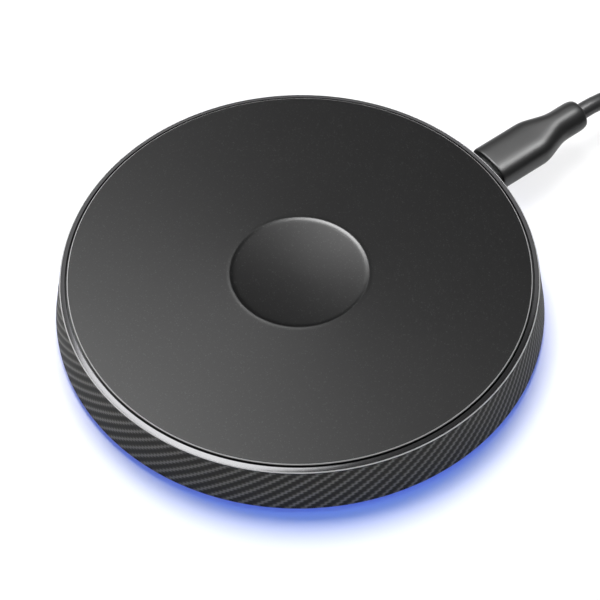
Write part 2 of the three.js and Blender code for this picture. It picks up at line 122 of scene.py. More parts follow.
def make_camera():
    right, away, up = camera_axes()
    e = math.radians(CAMERA_ELEVATION)
    back = -away * math.cos(e) + up * math.sin(e)
    cam_up = back.cross(right)
    base = Matrix((right, cam_up, back)).transposed()
    turn = Matrix.Rotation(-math.radians(CAMERA_PITCH), 3, "X")
    roll = Matrix.Rotation(math.radians(CAMERA_ROLL), 3, "Z")
    data = bpy.data.cameras.new("camera")
    data.lens = CAMERA_LENS
    data.sensor_width = CAMERA_SENSOR
    data.clip_start = 0.01
    data.clip_end = 20
    cam = bpy.data.objects.new("camera", data)
    aim = Vector((0, 0, BEZEL_TOP - 0.3 * MM))
    cam.matrix_world = Matrix.Translation(aim + back * CAMERA_DISTANCE) @ (base @ turn @ roll).to_4x4()
    bpy.context.collection.objects.link(cam)
    bpy.context.scene.camera = cam


make_camera()

# ---- mesh helpers ----

MOST_OF_SIDE = 0.49  # a fillet takes less than half of a side
ON_AXIS = 1e-7


def add_mesh(name, verts, faces, smooth_angle=35, material=None):
    mesh = bpy.data.meshes.new(name)
    mesh.from_pydata(verts, [], faces)
    mesh.validate()
    mesh.shade_smooth()
    if smooth_angle:
        mesh.set_sharp_from_angle(angle=math.radians(smooth_angle))
    obj = bpy.data.objects.new(name, mesh)
    bpy.context.collection.objects.link(obj)
    if material:
        mesh.materials.append(material)
    return obj


def rounded(points, steps=4):
    """A profile of (r, z, fillet) as plain (r, z), with each fillet made into an arc."""
    out = []
    n = len(points)
    for i, (r, z, fillet) in enumerate(points):
        here = Vector((r, z))
        if fillet <= 0:
            out.append(here)
            continue
        before = Vector(points[i - 1][:2]) - here
        after = Vector(points[(i + 1) % n][:2]) - here
        angle = before.angle(after)
        longest = MOST_OF_SIDE * min(before.length, after.length)
        reach = min(fillet / math.tan(angle / 2), longest)
        a = here + before.normalized() * reach
        b = here + after.normalized() * reach
        for k in range(steps + 1):
            t = k / steps
            out.append((1 - t) ** 2 * a + 2 * t * (1 - t) * here + t * t * b)
    return [(p.x, p.y) for p in out]


def revolve(name, profile, segments=256, material=None, smooth_angle=35, centre=(0, 0)):
    """A closed profile, or one that starts and ends on the axis, turned about a vertical axis."""
    verts = []
    faces = []
    rings = []
    for r, z in profile:
        if r < ON_AXIS:
            rings.append([len(verts)])
            verts.append((centre[0], centre[1], z))
            continue
        rings.append(list(range(len(verts), len(verts) + segments)))
        for k in range(segments):
            a = 2 * math.pi * k / segments
            verts.append((centre[0] + r * math.cos(a), centre[1] + r * math.sin(a), z))
    pairs = list(zip(rings, rings[1:]))
    if profile[0][0] > ON_AXIS:
        pairs.append((rings[-1], rings[0]))
    for lower, upper in pairs:
        for k in range(segments):
            m = (k + 1) % segments
            if len(lower) == 1 and len(upper) == 1:
                break
            if len(lower) == 1:
                faces.append((lower[0], upper[m], upper[k]))
            elif len(upper) == 1:
                faces.append((lower[k], lower[m], upper[0]))
            else:
                faces.append((lower[k], lower[m], upper[m], upper[k]))
    return add_mesh(name, verts, faces, smooth_angle, material)


def boolean(obj, cutter):
    """Cuts obj by cutter, and removes the cutter."""
    mod = obj.modifiers.new("cut", "BOOLEAN")
    mod.object = cutter
    mod.operation = "DIFFERENCE"
    mod.solver = "EXACT"
    bpy.context.view_layer.update()
    evaluated = obj.evaluated_get(bpy.context.evaluated_depsgraph_get())
    mesh = bpy.data.meshes.new_from_object(evaluated)
    obj.modifiers.clear()
    old = obj.data
    obj.data = mesh
    bpy.data.meshes.remove(old)
    bpy.data.objects.remove(cutter)


def reshade(obj, smooth_angle=35):
    """Smooth shading again after a cut, with sharp edges past the angle."""
    obj.data.shade_smooth()
    obj.data.set_sharp_from_angle(angle=math.radians(smooth_angle))


@contextlib.contextmanager
def mesh_edit(obj):
    """A bmesh of obj, whose faces all turn outwards when it is written back."""
    bm = bmesh.new()
    bm.from_mesh(obj.data)
    yield bm
    bmesh.ops.recalc_face_normals(bm, faces=bm.faces)
    bm.to_mesh(obj.data)
    bm.free()


def ring_faces(low, high, count):
    """Faces between two rings of points, each given by its first point's index."""
    following = [(k + 1) % count for k in range(count)]
    return [(low + k, low + m, high + m, high + k) for k, m in enumerate(following)]


def soft_box(name, low, high, bevel):
    """A box with rounded edges."""
    bm = bmesh.new()
    bmesh.ops.create_cube(bm, size=1)
    low = Vector(low)
    high = Vector(high)
    for v in bm.verts:
        v.co = (low + high) / 2 + Vector(v.co[i] * (high[i] - low[i]) for i in range(3))
    bmesh.ops.bevel(bm, geom=bm.edges[:], offset=bevel, segments=2, affect="EDGES", profile=0.5)
    mesh = bpy.data.meshes.new(name)
    bm.to_mesh(mesh)
    bm.free()
    mesh.shade_smooth()
    mesh.set_sharp_from_angle(angle=math.radians(50))
    obj = bpy.data.objects.new(name, mesh)
    bpy.context.collection.objects.link(obj)
    return obj


# ---- materials ----

COLOR_A, COLOR_B, COLOR_OUT = 6, 7, 2  # the mix node's colour sockets, by number
NOISE_SPAN = (0.3, 0.7)  # the range that nearly all of a noise's values lie in


class Nodes:
    """A short way to write a material's nodes."""

    def __init__(self, name):
        self.material = bpy.data.materials.new(name)
        self.material.use_nodes = True
        self.tree = self.material.node_tree
        self.shader = self.tree.nodes["Principled BSDF"]

    def node(self, kind, **settings):
        made = self.tree.nodes.new(kind)
        for key, value in settings.items():
            if key in made.inputs:
                made.inputs[key].default_value = value
            else:
                setattr(made, key, value)
        return made

    def link(self, source, target):
        self.tree.links.new(source, target)

    def place(self):
        return self.node("ShaderNodeTexCoord").outputs["Object"]

    def noise(self, vector, scale, detail=2, roughness=0.5):
        made = self.node("ShaderNodeTexNoise", Scale=scale, Detail=detail, Roughness=roughness)
        self.link(vector, made.inputs["Vector"])
        return made.outputs["Fac"]

    def math(self, operation, a, b=None):
        made = self.node("ShaderNodeMath", operation=operation)
        for i, value in enumerate((a, b)):
            if value is None:
                continue
            if isinstance(value, (int, float)):
                made.inputs[i].default_value = value
            else:
                self.link(value, made.inputs[i])
        return made.outputs[0]

    def spread(self, value, low, high, new_low, new_high):
        """Value carried from the range low..high to new_low..new_high."""
        made = self.node("ShaderNodeMapRange")
        self.link(value, made.inputs["Value"])
        ends = {"From Min": low, "From Max": high, "To Min": new_low, "To Max": new_high}
        for key, number in ends.items():
            made.inputs[key].default_value = number
        return made.outputs["Result"]

    def blend(self, factor, a, b):
        """Colour a where factor is 0 and b where it is 1."""
        made = self.node("ShaderNodeMix", data_type="RGBA")
        self.link(factor, made.inputs["Factor"])
        for value, socket in ((a, made.inputs[COLOR_A]), (b, made.inputs[COLOR_B])):
            if isinstance(value, tuple):
                socket.default_value = (*value, 1)
            else:
                self.link(value, socket)
        return made.outputs[COLOR_OUT]

    def bump(self, height, distance, strength=1.0):
        made = self.node("ShaderNodeBump", Distance=distance, Strength=strength)
        self.link(height, made.inputs["Height"])
        return made.outputs["Normal"]

    def color(self, socket):
        self.link(socket, self.shader.inputs["Base Color"])

    def roughness(self, value, low, high, span=NOISE_SPAN):
        """Roughness from low to high as value goes over its span."""
        self.link(self.spread(value, *span, low, high), self.shader.inputs["Roughness"])

    def relief(self, height, distance, strength=1.0):
        self.link(self.bump(height, distance, strength), self.shader.inputs["Normal"])

    def fix(self, key, value):
        """A constant on one of the shader's own sockets."""
        self.shader.inputs[key].default_value = value

    def polar(self):
        """Radius and height, for marks that run round the pad's axis."""
        split = self.node("ShaderNodeSeparateXYZ")
        self.link(self.place(), split.inputs[0])
        x2 = self.math("MULTIPLY", split.outputs[0], split.outputs[0])
        y2 = self.math("MULTIPLY", split.outputs[1], split.outputs[1])
        radius = self.math("SQRT", self.math("ADD", x2, y2))
        joined = self.node("ShaderNodeCombineXYZ")
        self.link(radius, joined.inputs[0])
        self.link(split.outputs[2], joined.inputs[1])
        return joined.outputs[0]


def tone(color, factor):
    return tuple(min(1, c * factor) for c in color)


def grained(name, color, roughness, grain, depth, mottle=0.2, specular=0.5):
    """A moulded or coated surface: grain of that size and depth in mm, mottled colour and roughness."""
    n = Nodes(name)
    place = n.place()
    fine = n.noise(place, 1 / (grain * MM), 3, 0.6)
    broad = n.noise(place, 90, 4, 0.6)
    n.color(n.blend(broad, tone(color, 1 - mottle), tone(color, 1 + mottle)))
    n.roughness(n.math("ADD", fine, broad), roughness * 0.88, roughness * 1.12, span=(0.6, 1.4))
    n.relief(fine, depth * MM)
    n.fix("Specular IOR Level", specular)
    return n.material


def soft_top():
    """Dark coating with a fine grain and scattered bright flecks."""
    n = Nodes("soft_top")
    place = n.place()
    cells = n.node("ShaderNodeTexVoronoi", Scale=5200.0)
    n.link(place, cells.inputs["Vector"])
    value = n.node("ShaderNodeSeparateColor")
    n.link(cells.outputs["Color"], value.inputs[0])
    fleck = n.spread(value.outputs[0], 0.92, 1.0, 0.0, 1.0)
    fine = n.noise(place, 3600, 3, 0.7)
    broad = n.noise(place, 60, 3, 0.5)
    base = n.blend(broad, (0.0035, 0.0035, 0.0037), (0.0055, 0.0055, 0.0057))
    n.color(n.blend(fleck, base, (0.023, 0.023, 0.0235)))
    n.roughness(fine, 0.31, 0.35)
    n.relief(fine, 0.01 * MM, 0.3)
    n.fix("Specular IOR Level", 0.5)
    return n.material


def turned_metal(name, color, roughness, groove, metallic):
    """Metal turned on a lathe: fine marks round the axis, groove mm deep."""
    n = Nodes(name)
    round_marks = n.noise(n.polar(), 9000, 3, 0.7)
    broad = n.noise(n.place(), 200, 3, 0.5)
    n.color(n.blend(broad, tone(color, 0.92), tone(color, 1.08)))
    n.roughness(round_marks, roughness * 0.8, roughness * 1.2)
    n.relief(round_marks, groove * MM)
    n.fix("Metallic", metallic)
    return n.material


BRUSH_ACROSS = 2600.0  # brush marks to a metre across them, and along them
BRUSH_ALONG = 160.0


def brushed_metal(name, color, roughness):
    """Plated sheet metal with brush marks along Y."""
    n = Nodes(name)
    stretch = n.node("ShaderNodeMapping")
    stretch.inputs["Scale"].default_value = (BRUSH_ACROSS, BRUSH_ALONG, BRUSH_ACROSS)
    n.link(n.place(), stretch.inputs["Vector"])
    marks = n.noise(stretch.outputs[0], 1, 3, 0.6)
    broad = n.noise(n.place(), 300, 3, 0.5)
    n.color(n.blend(broad, tone(color, 0.92), tone(color, 1.06)))
    n.roughness(marks, roughness * 0.85, roughness * 1.15)
    n.relief(marks, 0.001 * MM)
    n.fix("Metallic", 1)
    return n.material


def woven():
    """The twill band: a painted highlight in a light colour along the raised ridges, over the band's dark
    colour.
    """
    n = Nodes("woven_band")
    ridge_highlight = n.node("ShaderNodeAttribute", attribute_name="painted_ridge_highlight").outputs["Fac"]
    fine = n.noise(n.place(), 9000, 2, 0.6)
    broad = n.noise(n.place(), 70, 3, 0.5)
    dark = n.blend(broad, (0.0165, 0.0157, 0.0125), (0.022, 0.021, 0.017))
    # Painted highlight colour for the ridges.
    light = n.blend(broad, (0.16, 0.157, 0.145), (0.2, 0.196, 0.181))
    n.color(n.blend(ridge_highlight, dark, light))
    n.roughness(ridge_highlight, 0.62, 0.5, span=(0, 1))
    n.relief(fine, 0.01 * MM, 0.5)
    n.fix("IOR", 1.2)
    n.fix("Specular IOR Level", 0.5)
    return n.material


def glowing(name, color, strength):
    n = Nodes(name)
    cloud = n.noise(n.place(), 400, 2, 0.5)
    n.color(n.blend(cloud, tone(color, 0.9), tone(color, 1.1)))
    n.link(n.blend(cloud, (0.01, 0.09, 1.0), (0.015, 0.12, 1.0)), n.shader.inputs["Emission Color"])
    n.fix("Emission Strength", strength)
    n.roughness(cloud, 0.4, 0.5)
    n.fix("Subsurface Weight", 0.2)
    return n.material


def board_laminate():
    """Green solder mask over copper tracks."""
    n = Nodes("board_laminate")
    place = n.place()
    tracks = n.node("ShaderNodeTexBrick", Scale=320.0)
    tracks.inputs["Mortar Size"].default_value = 0.03
    n.link(place, tracks.inputs["Vector"])
    broad = n.noise(place, 500, 3, 0.5)
    mask = n.blend(broad, (0.008, 0.07, 0.035), (0.012, 0.095, 0.045))
    n.color(n.blend(tracks.outputs["Fac"], mask, (0.03, 0.16, 0.08)))
    n.relief(tracks.outputs["Fac"], 0.03 * MM)
    n.roughness(broad, 0.25, 0.4)
    return n.material


def wound_copper():
    """Litz wire wound round the coil's axis."""
    n = Nodes("litz_copper")
    turns = n.node("ShaderNodeTexWave", Scale=180.0, bands_direction="X")
    n.link(n.polar(), turns.inputs["Vector"])
    strands = n.noise(n.place(), 5000, 2, 0.6)
    n.color(n.blend(strands, (0.42, 0.16, 0.06), (0.72, 0.32, 0.14)))
    n.roughness(strands, 0.3, 0.5)
    n.relief(turns.outputs["Fac"], 0.2 * MM)
    n.fix("Metallic", 0.9)
    return n.material


# Grain and depth are in mm.
GRAINED = {
    "black_plastic": dict(color=(0.018, 0.019, 0.02), roughness=0.5, grain=0.25, depth=0.02),
    "silicone": dict(color=(0.03, 0.03, 0.032), roughness=0.75, grain=0.4, depth=0.02, specular=0.3),
    "foam": dict(color=(0.035, 0.035, 0.037), roughness=0.9, grain=0.4, depth=0.1),
    "ferrite": dict(color=(0.045, 0.045, 0.05), roughness=0.65, grain=0.2, depth=0.02),
    "chip_black": dict(color=(0.014, 0.014, 0.015), roughness=0.55, grain=0.1, depth=0.01),
    "capacitor_ceramic": dict(color=(0.42, 0.3, 0.18), roughness=0.45, grain=0.2, depth=0.01),
    "led_lens": dict(color=(0.8, 0.78, 0.55), roughness=0.3, grain=0.3, depth=0.01),
    "white_plastic": dict(color=(0.78, 0.78, 0.75), roughness=0.45, grain=0.2, depth=0.01, mottle=0.04),
    "grip_rubber": dict(
        color=(0.02, 0.02, 0.0202), roughness=0.38, grain=0.2, depth=0.008, mottle=0.08, specular=0.4
    ),
    "cable_jacket": dict(color=(0.03, 0.03, 0.031), roughness=0.42, grain=0.3, depth=0.01, mottle=0.08),
    "strap": dict(color=(0.02, 0.02, 0.022), roughness=0.95, grain=0.3, depth=0.2, mottle=0.4),
}
M = {
    "soft_top": soft_top(),
    "bezel_metal": turned_metal("bezel_metal", (0.035, 0.035, 0.036), 0.2, groove=0.001, metallic=1),
    # A light grey, partly diffuse metal on the plate's chamfer and the bezel's outer edge: a painted
    # highlight that keeps these edges bright all round.
    "painted_edge_highlight": turned_metal("painted_edge_highlight", (0.6, 0.6, 0.605), 0.38, groove=0.003, metallic=0.3),
    "woven_band": woven(),
    "diffuser": glowing("diffuser", (0.5, 0.56, 0.9), 0.7),
    "litz_copper": wound_copper(),
    "board_laminate": board_laminate(),
    "steel": brushed_metal("steel", (0.6, 0.61, 0.62), 0.28),
    "gold_plate": brushed_metal("gold_plate", (0.83, 0.62, 0.25), 0.25),
    **{name: grained(name, **look) for name, look in GRAINED.items()},
}

# ---- the CAD nodes that stay, and their finishes ----

for row in frame["record"]["subparts"]:
    node = bpy.data.objects[row["node"]]
    node.data.materials.clear()
    node.data.materials.append(M[row["material_slot"]])


def stands_for(obj, body, slot, *nodes):
    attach(obj, body)
    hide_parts(*nodes)


# ---- outer shells ----

FOOT_IN_R = 35 * MM
PLATE_THICK = 1.3 * MM
PLATE_CHAMFER = 0.16 * MM
PLATE_CORNER = 0.03 * MM  # how far the chamfer's two corners are rounded
DISH_R = 14 * MM
DISH_DEPTH = 1.0 * MM
DISH_WALL_DROP = 0.15 * MM
DISH_WALL_REACH = 0.7 * MM
DISH_CURVE = 1.8
DISH_STEPS = 24
LIP_RISE = 0.05 * MM
EDGE_LINE = 0.2 * MM  # width of the painted highlight line on the bezel's outer edge
TURN_SEGMENTS = 320
UNDER_SEGMENTS = 192


def plate_edge():
    """The plate's rim from below: a chamfer, a wall and a chamfer with rounded corners."""
    under = PLATE_TOP - PLATE_THICK
    chamfer = PLATE_CHAMFER
    return [
        (PLATE_R - chamfer, under),
        (PLATE_R, under + chamfer),
        (PLATE_R, PLATE_TOP - chamfer - 0.02 * MM),
        (PLATE_R - PLATE_CORNER, PLATE_TOP - chamfer + PLATE_CORNER),
        (PLATE_R - chamfer + PLATE_CORNER, PLATE_TOP - PLATE_CORNER),
        (PLATE_R - chamfer - 0.02 * MM, PLATE_TOP),
    ]


def dish_lip():
    """The slight swell round the dish and the turn into its wall."""
    return [
        (DISH_R + 1.0 * MM, PLATE_TOP),
        (DISH_R + 0.55 * MM, PLATE_TOP + LIP_RISE * 0.35),
        (DISH_R + 0.3 * MM, PLATE_TOP + LIP_RISE * 0.8),
        (DISH_R + 0.1 * MM, PLATE_TOP + LIP_RISE),
        (DISH_R - 0.05 * MM, PLATE_TOP + LIP_RISE * 0.4),
        (DISH_R - 0.2 * MM, PLATE_TOP - 0.03 * MM),
        (DISH_R - 0.45 * MM, PLATE_TOP - 0.1 * MM),
    ]


def dish_bowl():
    """From the foot of the dish's wall down to its middle."""
    start_r = DISH_R - DISH_WALL_REACH
    bottom = PLATE_TOP - DISH_DEPTH
    drop = DISH_DEPTH - DISH_WALL_DROP
    shares = [1 - i / DISH_STEPS for i in range(DISH_STEPS + 1)]
    return [(start_r * t, bottom + drop * t ** DISH_CURVE) for t in shares]


def paint_edge_highlight(obj, is_edge):
    """Gives the light grey edge finish, a painted highlight, to the faces that is_edge picks by radius and
    tilt.
    """
    obj.data.materials.append(M["painted_edge_highlight"])
    for face in obj.data.polygons:
        if is_edge(math.hypot(face.center.x, face.center.y), face.normal.z):
            face.material_index = 1


def top_cover():
    low = foot_of("top_cover")
    profile = [(0, low), (DISH_R - 0.5 * MM, low + 0.2 * MM), (DISH_R + 2 * MM, PLATE_TOP - PLATE_THICK)]
    profile += plate_edge() + dish_lip() + dish_bowl()
    obj = revolve("top_plate", profile, TURN_SEGMENTS, M["soft_top"], smooth_angle=28)
    chamfer_from = PLATE_R - PLATE_CHAMFER - 0.05 * MM
    # The chamfer gets the painted edge highlight.
    paint_edge_highlight(obj, lambda radius, tilt: radius > chamfer_from and 0.3 < tilt < 0.95)
    stands_for(obj, "pad", "soft_top", "top_cover")


def bezel():
    foot = foot_of("bezel_ring")
    inner = PLATE_R + 0.4 * MM
    step_r = BEZEL_R - 0.85 * MM
    seat = BAND_TOP + 0.03 * MM
    profile = rounded(
        [
            (inner, foot, 0),
            (step_r, foot, 0),
            (step_r, seat, 0),
            (BEZEL_R, seat, 0.03 * MM),
            (BEZEL_R, BEZEL_TOP - 0.43 * MM, 0.06 * MM),
            (BEZEL_R - EDGE_LINE, BEZEL_TOP - 0.3 * MM, 0.02 * MM),
            (inner + 0.05 * MM, BEZEL_TOP, 0.06 * MM),
            (inner, BEZEL_TOP - 0.12 * MM, 0.05 * MM),
        ]
    )
    obj = revolve("bezel", profile, TURN_SEGMENTS, M["bezel_metal"], smooth_angle=25)
    # The bezel's outer edge gets the painted edge highlight.
    paint_edge_highlight(obj, lambda radius, tilt: radius > BEZEL_R - EDGE_LINE and tilt > 0.1)
    stands_for(obj, "pad", "bezel_metal", "bezel_ring")
    return obj


TOWS = 408  # lengthwise tows round the band, four to each diagonal ridge
TOW_PITCH_Z = 0.583 * MM
TOW_STEPS = 4
TOW_DEPTH = 0.09 * MM
TOW_START = 0.13  # how much of a tow the wall's foot cuts off
RIDGE_TOWS = 4  # tows from one ridge to the next
RIDGE_STEP = 0.34  # how far a ridge steps sideways between tows
RIDGE_WIDTH = 0.68
CROSS_RISE = 0.3  # how high the crosswise tows stand, against 1 - CROSS_RISE for the ridges
# how much painted highlight the crosswise tows' crests get between the ridges
CROSS_SHOW = 0.12
BAND_WALL = 0.8 * MM
BAND_FLARE = 0.15  # how far the wall leans in, as a share of its height
EDGE_FADE = 0.35 * MM  # how far from its edges the weave is at full depth


def twill(u, v):
    """Height from 0 to 1 and how much painted highlight the ridge gets, at u tows round and v tows up."""
    step = RIDGE_STEP * math.sin(math.pi * (u + v))
    across = (u - v + step) % RIDGE_TOWS - RIDGE_TOWS / 2
    ridge = math.exp(-((across / RIDGE_WIDTH) ** 2))
    cross = abs(math.sin(math.pi * v))
    height = min(1, (1 - CROSS_RISE) * ridge + CROSS_RISE * cross)
    return height, ridge + CROSS_SHOW * cross * (1 - ridge)


def round_the_axis(radius, z, k, count):
    a = 2 * math.pi * k / count
    return radius * math.cos(a), radius * math.sin(a), z


def woven_rows(columns, rows, top_r):
    """The wall's outer points from the foot up, and how much painted ridge highlight each gets."""
    height = BAND_TOP - BAND_FOOT
    verts = []
    painted_ridge_highlight = []
    for row in range(rows + 1):
        z = BAND_FOOT + height * row / rows
        edge = min(z - BAND_FOOT, BAND_TOP - z) / EDGE_FADE
        fade = min(1, max(0, edge))
        base = BAND_R + (top_r - BAND_R) * row / rows
        v = (z - BAND_FOOT) / TOW_PITCH_Z + TOW_START
        for k in range(columns):
            rise, highlight_share = twill((k + 0.5) / TOW_STEPS, v)
            verts.append(round_the_axis(base - TOW_DEPTH * (1 - rise) * fade, z, k, columns))
            painted_ridge_highlight.append(highlight_share)
    return verts, painted_ridge_highlight


def side_band():
    columns = TOWS * TOW_STEPS
    height = BAND_TOP - BAND_FOOT
    rows = int(round(height / TOW_PITCH_Z * TOW_STEPS))
    top_r = BAND_R - height * BAND_FLARE
    verts, painted_ridge_highlight = woven_rows(columns, rows, top_r)
    rings = [row * columns for row in range(rows + 1)]
    for r, z in ((top_r - BAND_WALL, BAND_TOP), (BAND_R - BAND_WALL, BAND_FOOT)):
        rings.append(len(verts))
        verts += [round_the_axis(r, z, k, columns) for k in range(columns)]
        painted_ridge_highlight += [0.0] * columns
    faces = []
    for low, high in zip(rings, rings[1:] + [0]):
        faces += ring_faces(low, high, columns)
    obj = add_mesh("woven_wall", verts, faces, 60, M["woven_band"])
    # The painted ridge highlight goes to the material as a point attribute.
    layer = obj.data.attributes.new("painted_ridge_highlight", "FLOAT", "POINT")
    layer.data.foreach_set("value", painted_ridge_highlight)
    boolean(obj, port_cutter())
    obj.data.shade_smooth()
    stands_for(obj, "pad", "woven_band", "side_band")


def rounded_section(w, h, radius, steps=5):
    """Points round a w by h rectangle with round corners, anticlockwise."""
    out = []
    x, y = w / 2 - radius, h / 2 - radius
    for cx, cy, start in ((x, -y, -90), (x, y, 0), (-x, y, 90), (-x, -y, 180)):
        for k in range(steps + 1):
            a = math.radians(start + 90 * k / steps)
            out.append((cx + radius * math.cos(a), cy + radius * math.sin(a)))
    return out


def prism_y(name, section, back, front, x, z, material=None):
    """A section in X and Z carried along Y."""
    n = len(section)
    verts = [(x + px, y, z + pz) for y in (back, front) for px, pz in section]
    faces = [(k, k + n, (k + 1) % n + n, (k + 1) % n) for k in range(n)]
    faces.append(tuple(range(n)))
    faces.append(tuple(reversed(range(n, 2 * n))))
    obj = add_mesh(name, verts, faces, material=material)
    with mesh_edit(obj):
        pass
    return obj


PORT_W, PORT_H, PORT_CORNER = 8.6 * MM, 3.5 * MM, 1.2 * MM


def port_cutter():
    section = rounded_section(PORT_W, PORT_H, PORT_CORNER, 6)
    return prism_y("port", section, BAND_R - 10 * MM, BAND_R + 5 * MM, 0, PLUG_Z)


def light_ring():
    low, high = low_high("light_ring")
    inner = low_high("bottom_cover")[1].x + 0.3 * MM
    outer = high.x
    profile = rounded(
        [
            (inner, low.z, 0.1 * MM),
            (outer - 0.5 * MM, low.z, 0.15 * MM),
            (outer, low.z + 0.5 * MM, 0.15 * MM),
            (outer, high.z, 0.1 * MM),
            (inner, high.z, 0.1 * MM),
        ]
    )
    obj = revolve("light_diffuser", profile, UNDER_SEGMENTS, M["diffuser"], smooth_angle=40)
    stands_for(obj, "pad", "diffuser", "light_ring")


FOOT_GROOVES = 3
GROOVE_DEPTH = 0.12 * MM
GROOVE_HALF_TOP, GROOVE_HALF_FLOOR = 0.25 * MM, 0.15 * MM


def foot_ring():
    low, high = low_high("foot_ring")
    inner, outer = FOOT_IN_R, high.x
    groove_z = low.z + GROOVE_DEPTH
    points = [(inner, low.z, 0.2 * MM)]
    for g in range(FOOT_GROOVES):
        mid = inner + (outer - inner) * (g + 1) / (FOOT_GROOVES + 1)
        points += [
            (mid - GROOVE_HALF_TOP, low.z, 0),
            (mid - GROOVE_HALF_FLOOR, groove_z, 0),
            (mid + GROOVE_HALF_FLOOR, groove_z, 0),
            (mid + GROOVE_HALF_TOP, low.z, 0),
        ]
    points += [(outer, low.z, 0.2 * MM), (outer, high.z, 0.1 * MM), (inner, high.z, 0.1 * MM)]
    obj = revolve("foot", rounded(points), UNDER_SEGMENTS, M["silicone"])
    stands_for(obj, "pad", "silicone", "foot_ring")


def screw_holes(obj, low_z, high_z):
    for i in range(1, 5):
        low, high = low_high(f"case_screw_{i}")
        centre = ((low.x + high.x) / 2, (low.y + high.y) / 2)
        reach = (high.x - low.x) / 2 + 0.2 * MM
        profile = [(0, low_z), (reach, low_z), (reach, high_z), (0, high_z)]
        boolean(obj, revolve("hole", profile, 32, centre=centre))


RECESS_R = 24 * MM
RECESS_DEPTH = 0.25 * MM


def base_plate():
    """The bottom cover: a blank shallow recess in the middle, and a groove that holds the foot."""
    low, high = low_high("bottom_cover")
    foot_high = low_high("foot_ring")[1]
    groove_z = foot_high.z + 0.05 * MM
    groove_in = FOOT_IN_R - 0.15 * MM
    groove_out = foot_high.x + 0.15 * MM
    profile = [
        (0, low.z + RECESS_DEPTH, 0),
        (RECESS_R - 0.5 * MM, low.z + RECESS_DEPTH, 0.1 * MM),
        (RECESS_R, low.z, 0.1 * MM),
        (groove_in, low.z, 0.15 * MM),
        (groove_in, groove_z, 0),
        (groove_out, groove_z, 0),
        (groove_out, low.z, 0.15 * MM),
        (high.x, low.z, 0.3 * MM),
        (high.x, high.z, 0.1 * MM),
        (0, high.z, 0),
    ]
    obj = revolve("base_plate", rounded(profile), UNDER_SEGMENTS, M["black_plastic"])
    screw_holes(obj, groove_z - 0.1 * MM, high.z + MM)
    reshade(obj)
    stands_for(obj, "pad", "black_plastic", "bottom_cover")


top_cover()
bezel_obj = bezel()
side_band()
light_ring()
base_plate()
foot_ring()

# ---- lead ----

PLUG_GRIP_H = 6.8 * MM
USB_GRIP_H = 7.9 * MM
RELIEF_D = 7 * MM
RELIEF_FLATTEN = 0.15 * MM  # how much less its half height is than its half width
RELIEF_RISE = 0.3 * MM  # how far the strain relief's middle is above the grip's
GRIP_SQUARENESS = 0.7  # 1 is an ellipse, and less is squarer
GRIP_SIDES = 72
FRONT_ROUND, BACK_ROUND = 0.32 * MM, 0.55 * MM  # how far the grip's two ends draw in
FRONT_REACH = 0.5  # mm that the front's rounding takes
BACK_REACH = 0.35  # share of the relief that the back's rounding takes

# The cable's route is in mm, as in the CAD.
RUN = [
    (0, 74.1, 7.75), (0, 75.35, 7.75), (0, 79, 7.65), (0, 83.5, 6.8), (0, 88.3, 5.05), (0, 93, 3.5),
    (0, 97, 2.75), (0, 99.8, 2.5), (0, 106, 2.45),
]
TAIL = [
    (53, 108, 6.1), (53, 103, 6.05), (53, 99.8, 5.75), (53, 97, 5.2), (53, 94, 4.5), (53, 90.3, 4.15),
    (53, 88.6, 4.1),
]
COIL_CENTRE = (26.5, 114)
COIL_OUT_R = 26.5
COIL_IN_R = 14.5
COIL_LOW = 2.45
COIL_STEP = 3.65
COIL_TURNS = 6.5
COIL_CLIMB = 0.24  # turns that the cable takes to climb onto the lower layer
STEPS_PER_TURN = 36


def ease(t):
    """From 0 to 1 with a soft start and a soft end."""
    t = min(1, max(0, t))
    return t * t * (3 - 2 * t)


def coil_points():
    """The wound turns: inwards along the surface, then outwards on top of them."""
    points = []
    count = int(COIL_TURNS * STEPS_PER_TURN)
    for i in range(count + 1):
        t = i / count
        radius = COIL_IN_R + (COIL_OUT_R - COIL_IN_R) * abs(2 * t - 1)
        climb = ease((t * COIL_TURNS - COIL_TURNS / 2 + COIL_CLIMB / 2) / COIL_CLIMB)
        a = math.pi - 2 * math.pi * COIL_TURNS * t
        x = COIL_CENTRE[0] + radius * math.cos(a)
        y = COIL_CENTRE[1] + radius * math.sin(a)
        points.append((x, y, COIL_LOW + COIL_STEP * climb))
    return points


def smooth_line(points, per_span=3):
    """A Catmull-Rom line through the points."""
    out = []
    ends = [points[0]] + list(points) + [points[-1]]
    for k in range(1, len(ends) - 2):
        p0, p1, p2, p3 = (Vector(p) for p in ends[k - 1 : k + 3])
        for s in range(per_span):
            t = s / per_span
            square = (2 * p0 - 5 * p1 + 4 * p2 - p3) * t * t
            cube = (3 * p1 - p0 - 3 * p2 + p3) * t ** 3
            out.append(0.5 * ((2 * p1) + (p2 - p0) * t + square + cube))
    out.append(Vector(points[-1]))
    return out


def cable():
    line = smooth_line(RUN) + [Vector(p) for p in coil_points()] + smooth_line(TAIL)
    line = [p * MM for p in line]
    length = sum((b - a).length for a, b in zip(line, line[1:]))
    data = bpy.data.curves.new("cable", "CURVE")
    data.dimensions = "3D"
    data.bevel_depth = CABLE_D / 2
    data.bevel_resolution = 5
    spline = data.splines.new("POLY")
    spline.points.add(len(line) - 1)
    for point, place in zip(spline.points, line):
        point.co = (*place, 1)
    data.materials.append(M["cable_jacket"])
    obj = bpy.data.objects.new("cable", data)
    bpy.context.collection.objects.link(obj)
    stands_for(obj, "lead", "cable_jacket", "cable_run", "cable_coil", "cable_tail")
    return obj, length


def drawn_in(share, depth):
    """How far a rounded end draws in, at that share of its reach from the very end."""
    share = min(1, share)
    return depth * (1 - math.sqrt(max(0, 1 - (1 - share) ** 2)))


